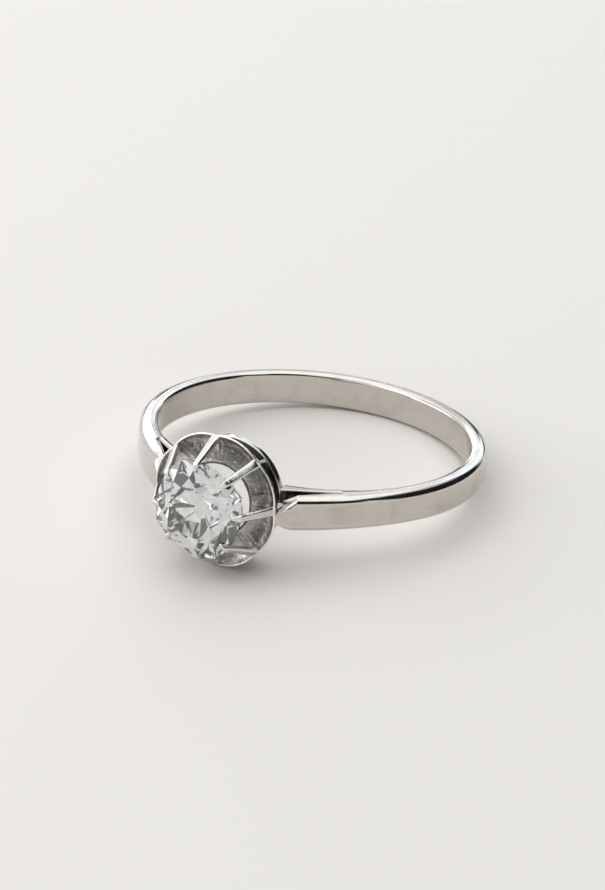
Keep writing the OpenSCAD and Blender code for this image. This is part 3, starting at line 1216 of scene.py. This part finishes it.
@dataclass
class Petal:
    """One fluted petal of the cup, between two claws.

    Attributes:
        setting: Sizes of the setting.
        number: Which petal, from 0.
        lobe: Extra radius of the rim in the middle.
        flute: Depth of the hollow.
        flute_out: How far the hollow also moves the face out, as a share of its depth.
        neck_tuck: How far under the collar's upper edge the petal starts.
        bend_in: How far inside the rim's radius the control point lies.
        bend_drop: How far under the petal's start the control point lies.
        wall: Thickness at the neck.
        rim_thinning: Share of the thickness that is lost at the rim.
        back_lift: Share of its drop that the back loses at the rim.
        across: Steps across the petal.
        along: Steps from the neck to the rim.
        rim_steps: Steps round the rim's edge.
    """

    setting: Setting
    number: int
    lobe: float = 0.12
    flute: float = 0.14
    flute_out: float = 0.5
    neck_tuck: float = 0.06
    bend_in: float = 0.42
    bend_drop: float = 0.16
    wall: float = 0.2
    rim_thinning: float = 0.5
    back_lift: float = 0.45
    across: int = 40
    along: int = 30
    rim_steps: int = 8

    def build(self) -> bpy.types.Object:
        """Makes the petal's surface.

        The hollow face in a meridian plane is a parabola from the neck to the rim, with its control point
        low down near the rim; it sinks by flute sin(180 f) (1 - u^2) at share f of the way up and u across.
        The back is the face moved out and down by the wall, and the rim is a half round between the two.

        Returns:
            The petal.
        """
        s = self.setting
        u = np.linspace(-1, 1, self.across + 1)[:, None]
        f = np.linspace(0, 1, self.along + 1)[None]
        swell = 1 - u**2
        g = 1 - f
        low = s.neck_h - self.neck_tuck
        r = g * g * s.neck_r + 2 * f * g * (s.rim_r - self.bend_in) + f * f * (s.rim_r + self.lobe * swell)
        h = g * g * low + 2 * f * g * (low - self.bend_drop) + f * f * s.rim_h
        dip = self.flute * swell * np.sin(np.pi * f)
        face = np.stack([r + self.flute_out * dip, h - dip], -1)
        wall = self.wall * (1 - self.rim_thinning * f)
        back = face + np.stack([wall * f, -wall * (1 - self.back_lift * f)], -1)
        middle = (face[:, -1] + back[:, -1]) / 2
        reach = (face[:, -1] - back[:, -1]) / 2
        across = np.stack([-reach[:, 1], reach[:, 0]], -1)
        turn = np.pi * np.arange(1, self.rim_steps)[None, :, None] / self.rim_steps
        rim = middle[:, None] + np.cos(turn) * reach[:, None] - np.sin(turn) * across[:, None]
        half = self.rim_steps // 2
        loop = np.concatenate([face, rim[:, :half - 1], rim[:, half:], back[:, ::-1]], axis=1)
        a = np.radians(s.pitch / 2 * (u + 1))
        loops = np.stack([loop[..., 0] * np.cos(a), loop[..., 0] * np.sin(a), loop[..., 1]], -1)
        skin = sweep(loops).placed(s.place(self.number * s.pitch))
        number = self.number + 1
        piece = add_piece(f"fluted_petal_{number}", skin, Slot.PETAL_METAL, PETAL_METAL, crease=60.0)
        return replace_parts(piece, f"petal_{number}")


@dataclass
class Claw:
    """One claw, from the gallery rail over the cup's rim to its grip on the stone.

    Attributes:
        setting: Sizes of the setting.
        number: Which claw, from 0.
        width: Width at the cup's rim.
        thickness: Thickness at the cup's rim.
        thinnest: Least share of the thickness, at the tip.
        narrowest: Least share of the width, at the tip.
        stations: Stations along it.
    """

    setting: Setting
    number: int
    width: float = 0.5
    thickness: float = 0.32
    thinnest: float = 0.03
    narrowest: float = 0.05
    stations: int = 90

    def course(self) -> Array:
        """Stations that the claw passes through, from its foot on the rail to its tip over the girdle.

        Returns:
            Rows of radius, height, direction of the thickness in degrees, and shares of the claw's thickness
            and width.
        """
        s = self.setting
        foot_r, foot_h = s.rail_r - s.rail_wall / 2 + 0.01, s.rail_h + s.rail_depth
        return np.array([
            [foot_r, foot_h, 0, 0.7, 0.5],
            [foot_r + 0.12, foot_h + 0.45, -12, 0.65, 0.45],
            [s.rim_r - 0.2, s.rim_h - 0.5, -14, 0.75, 0.5],
            [s.rim_r - 0.05, s.rim_h - 0.12, 4, 0.85, 1.1],
            [s.rim_r - 0.17, s.rim_h + 0.28, 28, 0.95, 1],
            [s.stone_r + 0.3, s.girdle_h - 0.55, 28, 0.95, 0.9],
            [s.stone_r + 0.06, s.girdle_h - 0.04, 24, 0.95, 0.82],
            [s.stone_r - 0.06, s.girdle_h + 0.27, 42, 0.85, 0.78],
            [s.stone_r - 0.26, s.girdle_h + 0.42, 62, 0.6, 0.5],
            [s.stone_r - 0.42, s.girdle_h + 0.48, 66, 0.3, 0.26],
            [s.stone_r - 0.47, s.girdle_h + 0.49, 68, 0.05, 0.08]])

    def build(self) -> bpy.types.Object:
        """Makes the claw's surface: a bar with a flat outer face and two bevels along a smooth course.

        Returns:
            The claw.
        """
        section = np.roll(softened(np.array(CLAW_CORNERS), 0.12, 4), 1, axis=0)
        way = smooth_rows(self.course(), self.stations)
        lean = np.radians(way[:, 2:3])
        out = section[None, :, 0] * np.maximum(way[:, 3:4], self.thinnest) * self.thickness / 2
        side = section[None, :, 1] * np.maximum(way[:, 4:5], self.narrowest) * self.width / 2
        loops = np.stack([way[:, 0:1] + out * np.cos(lean), side, way[:, 1:2] + out * np.sin(lean)], -1)
        skin = sweep(loops).placed(self.setting.place(self.number * self.setting.pitch))
        number = self.number + 1
        piece = add_piece(f"claw_bar_{number}", skin, Slot.CLAW_METAL, CLAW_METAL, crease=28.0)
        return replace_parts(piece, f"claw_{number}")


@dataclass
class Stone:
    """Old-cut brilliant with a soft square outline, a high crown, a small table and an open culet.

    Attributes:
        setting: Sizes of the setting.
        cushion: How far the girdle swells at the four soft corners.
        phase: Angle of the first soft corner in the setting's frame, in degrees.
        girdle_depth: Height of the girdle band.
        crown_height: Height of the crown.
        pavilion_depth: Depth of the pavilion.
        table_r: Radius of the table at its corners.
        culet_r: Radius of the culet at its corners.
        star_share: How far the stars reach from the table towards the girdle.
        lower_share: How far the lower halves reach from the girdle towards the culet.
    """

    setting: Setting
    cushion: float = 0.13
    phase: float = 22.0
    girdle_depth: float = 0.1
    crown_height: float = 0.86
    pavilion_depth: float = 2.2
    table_r: float = 1.36
    culet_r: float = 0.36
    star_share: float = 0.4
    lower_share: float = 0.55

    def ring(self, radius: Array, height: float, turn: Array) -> Array:
        """Points at a radius, a height and a turn from the first corner, in degrees."""
        a = np.radians(turn + self.phase)
        return np.stack([radius * np.cos(a), radius * np.sin(a), height + 0 * a], -1)

    def ways(self) -> Array:
        """Directions of the eight main facets in the setting's plane, shape (8, 2)."""
        return self.ring(1.0, 0.0, np.arange(8) * 45.0)[:, :2]

    def meeting(self, inner: Array, inner_h: float, outer: Array, outer_h: float, share: float) -> Array:
        """Points where neighbouring main facets meet.

        Main facet i is a plane that crosses its own direction at a right angle, so its height is
        level_i + slope_i (way_i . xy). Facets i and i + 1 meet where these are equal, which is a line; the
        point returned lies on it at a given reach along the direction between the two.

        Args:
            inner: Distance of each facet's inner edge from the middle, shape (8,).
            inner_h: Height of the inner edges.
            outer: Distance of each facet's outer corner, shape (8,).
            outer_h: Height of the outer corners.
            share: Share of the way from the inner edges out to the outer corners.

        Returns:
            Meeting points, shape (8, 3).
        """
        way = self.ways()
        slope = (outer_h - inner_h) / (outer - inner)
        level = inner_h - slope * inner
        nxt = (np.arange(8) + 1) % 8
        reach = (1 - share) * (inner + inner[nxt]) / 2 + share * (outer + outer[nxt]) / 2
        middle = way + way[nxt]
        middle /= np.linalg.norm(middle, axis=1, keepdims=True)
        rows = np.stack([slope[:, None] * way - slope[nxt][:, None] * way[nxt], middle], axis=1)
        xy = np.linalg.solve(rows, np.stack([level[nxt] - level, reach], -1)[..., None])[..., 0]
        height = level + slope * np.einsum("ij,ij->i", xy, way)
        return np.concatenate([xy, height[:, None]], axis=1)

    def culet_corners(self, edge: Array, height: float) -> Array:
        """Corners of the culet, where the lines way_i . xy = edge_i of neighbouring facets cross.

        Args:
            edge: Distance of each side of the culet from the middle, shape (8,).
            height: Height of the culet.

        Returns:
            The corners, shape (8, 3).
        """
        way = self.ways()
        nxt = (np.arange(8) + 1) % 8
        rows = np.stack([way, way[nxt]], axis=1)
        xy = np.linalg.solve(rows, np.stack([edge, edge[nxt]], -1)[..., None])[..., 0]
        return np.concatenate([xy, np.full((8, 1), height)], axis=1)

    def build(self) -> bpy.types.Object:
        """Makes the stone's facets.

        Eight kites and eight mains follow the corners and the sides of the outline. Stars fill the gaps
        beside the table, and pairs of halves fill the gaps beside the girdle.

        Returns:
            The stone.
        """
        s = self.setting
        low_h = s.girdle_h
        top_h = low_h + self.girdle_depth
        table_h, culet_h = top_h + self.crown_height, low_h - self.pavilion_depth
        main = np.arange(8) * 45.0
        girdle = s.stone_r + self.cushion * np.cos(np.radians(4 * main))
        mid_girdle = np.full(8, s.stone_r)
        share = girdle / s.stone_r
        rings = [
            self.ring(self.table_r * share, table_h, main),
            self.meeting(self.table_r * share, table_h, girdle, top_h, self.star_share),
            self.ring(girdle, top_h, main), self.ring(mid_girdle, top_h, main + 22.5),
            self.ring(girdle, low_h, main), self.ring(mid_girdle, low_h, main + 22.5),
            self.meeting(self.culet_r * share, culet_h, girdle, low_h, 1 - self.lower_share),
            self.culet_corners(self.culet_r * share, culet_h),
            np.array([[0, 0, table_h], [0, 0, culet_h]])]
        points = np.concatenate(rings)
        here = np.arange(64).reshape(8, 8)
        table, star, up, up_mid, down, down_mid, half, culet = here
        table_n, star_n, up_n, _, down_n, _, half_n, culet_n = np.roll(here, -1, axis=1)
        top, low = np.full(8, 64), np.full(8, 65)
        faces = np.concatenate([np.stack(corners, -1) for corners in [
            (top, table, table_n), (table, star, table_n), (table_n, star, up_n), (table_n, up_n, star_n),
            (star, up, up_mid), (star, up_mid, up_n), (up, down, down_mid), (up, down_mid, up_mid),
            (up_mid, down_mid, down_n), (up_mid, down_n, up_n), (down, half, down_mid),
            (down_mid, half, down_n), (down_n, half, culet), (down_n, culet, culet_n),
            (down_n, culet_n, half_n), (low, culet_n, culet)]])
        skin = Skin(points, faces, points[faces][:, :, :2]).placed(s.place())
        piece = add_piece("old_cut_stone", skin, Slot.DIAMOND, STONE, Shading.FACETED)
        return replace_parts(piece, "diamond")


# ---------------------------------------------------------------------------------------------------
# The studio


@dataclass(frozen=True)
class Aimed:
    """Something flat that stands some way off and faces the ring.

    Attributes:
        name: Its name.
        azimuth: Direction it stands in, in degrees.
        height: Its angle above the ring's horizon, in degrees.
        distance: Distance from the ring in millimetres.
        size: Width and height in millimetres.
    """

    name: str
    azimuth: float
    height: float
    distance: float
    size: tuple[float, float]


@dataclass(frozen=True)
class Lamp(Aimed):
    """One rectangular soft light.

    Attributes:
        power: Power in watts.
        colour: Colour of its light.
    """

    power: float
    colour: Colour = (1.0, 1.0, 1.0)

    def build(self) -> bpy.types.Object:
        """Makes the light, which the camera doesn't see.

        Returns:
            The light.
        """
        data = bpy.data.lights.new(self.name, "AREA")
        data.shape = "RECTANGLE"
        data.size, data.size_y = self.size[0] * MM, self.size[1] * MM
        data.energy = self.power
        data.color = self.colour
        lamp = linked(self.name, data)
        way = Vector(direction(self.azimuth, self.height))
        lamp.location = way * self.distance * MM
        lamp.rotation_mode = "QUATERNION"
        lamp.rotation_quaternion = (-way).to_track_quat("-Z", "Y")
        lamp.visible_camera = False
        return lamp


@dataclass(frozen=True)
class Card(Aimed):
    """One matt card, which only reflections and the stone see.

    Attributes:
        finish: Finish of the card.
    """

    finish: Finish = DARK_CARD

    def build(self) -> bpy.types.Object:
        """Makes the card, which stands across the line to the ring.

        Returns:
            The card.
        """
        way = direction(self.azimuth, self.height)
        side = direction(self.azimuth + 90.0, 0.0)
        up = np.cross(way, side)
        corners = np.array([[-1, -1], [1, -1], [1, 1], [-1, 1]]) / 2 * np.array(self.size)
        points = way * self.distance + corners[:, :1] * side + corners[:, 1:] * up
        mesh = bpy.data.meshes.new(self.name)
        mesh.from_pydata((points * MM).tolist(), [], [(0, 1, 2, 3)])
        mesh.materials.append(self.finish.material())
        card = linked(self.name, mesh)
        card.visible_camera = False
        return card


@dataclass
class Camera:
    """The camera, which looks at the ring from in front, from the right and from above.

    Attributes:
        azimuth: Direction it stands in, in degrees.
        elevation: Angle above the ring's horizon, in degrees.
        roll: Turn about its own line of sight, in degrees.
        distance: Distance from the ring's centre in millimetres.
        aside: How far the line of sight passes from the ring's centre, across and up, in millimetres.
        lens: Focal length in millimetres.
        sensor: Width of the sensor in millimetres.
        clip: Nearest and farthest distance that it sees, in metres.
    """

    azimuth: float = 27.51
    elevation: float = 21.24
    roll: float = 5.61
    distance: float = 230.0
    aside: tuple[float, float] = (-0.5565, -0.0078)
    lens: float = 172.5
    sensor: float = 36.0
    clip: tuple[float, float] = (0.01, 10.0)

    def build(self) -> bpy.types.Object:
        """Makes the camera and gives it to the scene.

        Returns:
            The camera.
        """
        turn = math.radians(self.roll)
        back = Vector(direction(self.azimuth, self.elevation))
        level = Vector(direction(self.azimuth + 90.0, 0.0))
        up = back.cross(level)
        right = math.cos(turn) * level + math.sin(turn) * up
        above = -math.sin(turn) * level + math.cos(turn) * up
        place = (back * self.distance + right * self.aside[0] + above * self.aside[1]) * MM
        data = bpy.data.cameras.new("camera")
        data.lens, data.sensor_width = self.lens, self.sensor
        data.clip_start, data.clip_end = self.clip
        camera = linked("camera", data)
        axes = Matrix((right, above, back)).transposed()
        camera.matrix_world = Matrix.Translation(place) @ axes.to_4x4()
        bpy.context.scene.camera = camera
        return camera


@dataclass
class Studio:
    """Plain pale floor, soft lights and a grey room.

    Attributes:
        floor_reach: Half the floor's side in millimetres.
        floor_lines: Lines of points along each side of the floor.
        most_tilt: Largest tilt at which the ring could lie, in degrees.
        room: Colour of the room's own light.
        room_strength: Strength of the room's own light.
        lamps: The lights.
        cards: Matt cards around the ring, which its polished faces mirror as dark lines.
    """

    floor_reach: float = 900.0
    floor_lines: int = 41
    most_tilt: float = 20.0
    room: Colour = (0.93, 0.965, 1.0)
    room_strength: float = 0.86
    lamps: list[Lamp] = field(default_factory=lambda: [
        Lamp("overhead", 200.0, 78.0, 450.0, (700.0, 700.0), 0.92),
        Lamp("window", 223.0, 20.0, 450.0, (190.0, 100.0), 0.14, (0.96, 0.98, 1.0)),
        Lamp("back_sky", 192.0, 26.0, 455.0, (180.0, 170.0), 0.08, (0.70, 0.85, 1.0)),
        Lamp("front_fill", 318.0, 38.0, 470.0, (260.0, 260.0), 0.26),
        Lamp("left_window", 278.0, 15.0, 450.0, (130.0, 150.0), 0.092),
        Lamp("low_left", 300.0, 9.0, 450.0, (230.0, 90.0), 0.2),
        Lamp("claw_fill", 83.0, 52.0, 450.0, (70.0, 70.0), 0.016, (0.93, 0.96, 1.0)),
        Lamp("white_glint", 205.9, 20.0, 450.0, (6.0, 14.0), 0.002),
        Lamp("peach_glint", 206.7, 20.0, 450.0, (3.0, 12.0), 0.0006, (1.0, 0.78, 0.6)),
    ])
    cards: list[Card] = field(default_factory=lambda: [
        Card("camera_card", 30.0, 30.0, 520.0, (320.0, 300.0), GREY_CARD),
        Card("shoulder_card", 62.0, 36.0, 500.0, (300.0, 440.0)),
        Card("right_card", 130.0, 30.0, 485.0, (880.0, 560.0)),
        Card("back_card", 204.0, 8.0, 500.0, (420.0, 120.0)),
    ])

    def resting_plane(self, points: Array) -> tuple[float, float]:
        """How the ring lies: on the back of its shank and on the lowest rim of its cup.

        For a tilt a about X, a point's height over a plane through the centre is z cos a - y sin a. The tilt
        is the one at which the lowest point of the front half and of the back half are equally low, found
        by halving.

        Args:
            points: Points of the ring in millimetres.

        Returns:
            The tilt in degrees and the plane's height in millimetres.
        """
        front, behind = points[points[:, 1] < 0], points[points[:, 1] >= 0]

        def lowest(part: Array, tilt: float) -> float:
            """Height of a part's lowest point at a tilt."""
            return float((part[:, 2] * math.cos(tilt) - part[:, 1] * math.sin(tilt)).min())

        low, high = 0.0, math.radians(self.most_tilt)
        while high - low > 1e-12:
            tilt = (low + high) / 2
            if lowest(front, tilt) < lowest(behind, tilt):
                low = tilt
            else:
                high = tilt
        return math.degrees(tilt), min(lowest(front, tilt), lowest(behind, tilt))

    def build_floor(self, pieces: list[bpy.types.Object]) -> bpy.types.Object:
        """Makes the floor that the ring lies on.

        Args:
            pieces: The ring's pieces.

        Returns:
            The floor.
        """
        parts = []
        for piece in pieces:
            flat = np.empty(len(piece.data.vertices) * 3)
            piece.data.vertices.foreach_get("co", flat)
            parts.append(flat.reshape(-1, 3) / MM)
        tilt, height = self.resting_plane(np.concatenate(parts))
        log.info("the ring lies %.2f degrees from level, %.3f mm over the floor", tilt, -height)
        a = math.radians(tilt)
        up = np.array([0, -math.sin(a), math.cos(a)])
        along = np.array([0, math.cos(a), math.sin(a)])
        side = np.array([1.0, 0, 0])
        count = self.floor_lines
        steps = np.linspace(-1, 1, count) * self.floor_reach
        grid = (steps[:, None, None] * side + steps[None, :, None] * along + height * up) * MM
        i, j = np.meshgrid(np.arange(count - 1), np.arange(count - 1), indexing="ij")
        first = i * count + j
        faces = np.stack([first, first + count, first + count + 1, first + 1], -1).reshape(-1, 4)
        mesh = bpy.data.meshes.new("floor")
        mesh.from_pydata(grid.reshape(-1, 3).tolist(), [], faces.tolist())
        mesh.materials.append(FLOOR.material())
        floor = linked("floor", mesh)
        return floor

    def build_room(self) -> None:
        """Gives the room its own soft light."""
        world = bpy.data.worlds.new("room")
        world.use_nodes = True
        ground = world.node_tree.nodes["Background"]
        ground.inputs["Color"].default_value = (*self.room, 1.0)
        ground.inputs["Strength"].default_value = self.room_strength
        bpy.context.scene.world = world

    def build(self, pieces: list[bpy.types.Object]) -> None:
        """Makes the room, the floor, the lights and the cards.

        Args:
            pieces: The ring's pieces.
        """
        self.build_room()
        self.build_floor(pieces)
        for part in (*self.lamps, *self.cards):
            part.build()
        bpy.context.scene.view_settings.view_transform = "Standard"


def main() -> None:
    """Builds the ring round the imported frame, then the studio and the camera."""
    logging.basicConfig(level=logging.INFO, format="%(name)s: %(message)s")
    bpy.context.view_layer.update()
    hoop = Hoop.measured()
    setting = Setting(hoop.hole_r)
    pieces = [Shank(hoop).build()]
    pieces += [part(hoop, side).build() for part in (Shoulder, LowerBranch) for side in Side]
    gallery = Gallery(setting)
    pieces += [gallery.build_rail(), gallery.build_collar()]
    pieces += [Petal(setting, number).build() for number in range(setting.petals)]
    pieces += [Claw(setting, number).build() for number in range(setting.petals)]
    pieces.append(Stone(setting).build())
    Studio().build(pieces)
    Camera().build()
    bpy.context.view_layer.update()
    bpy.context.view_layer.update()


if __name__ == "__main__":
    main()
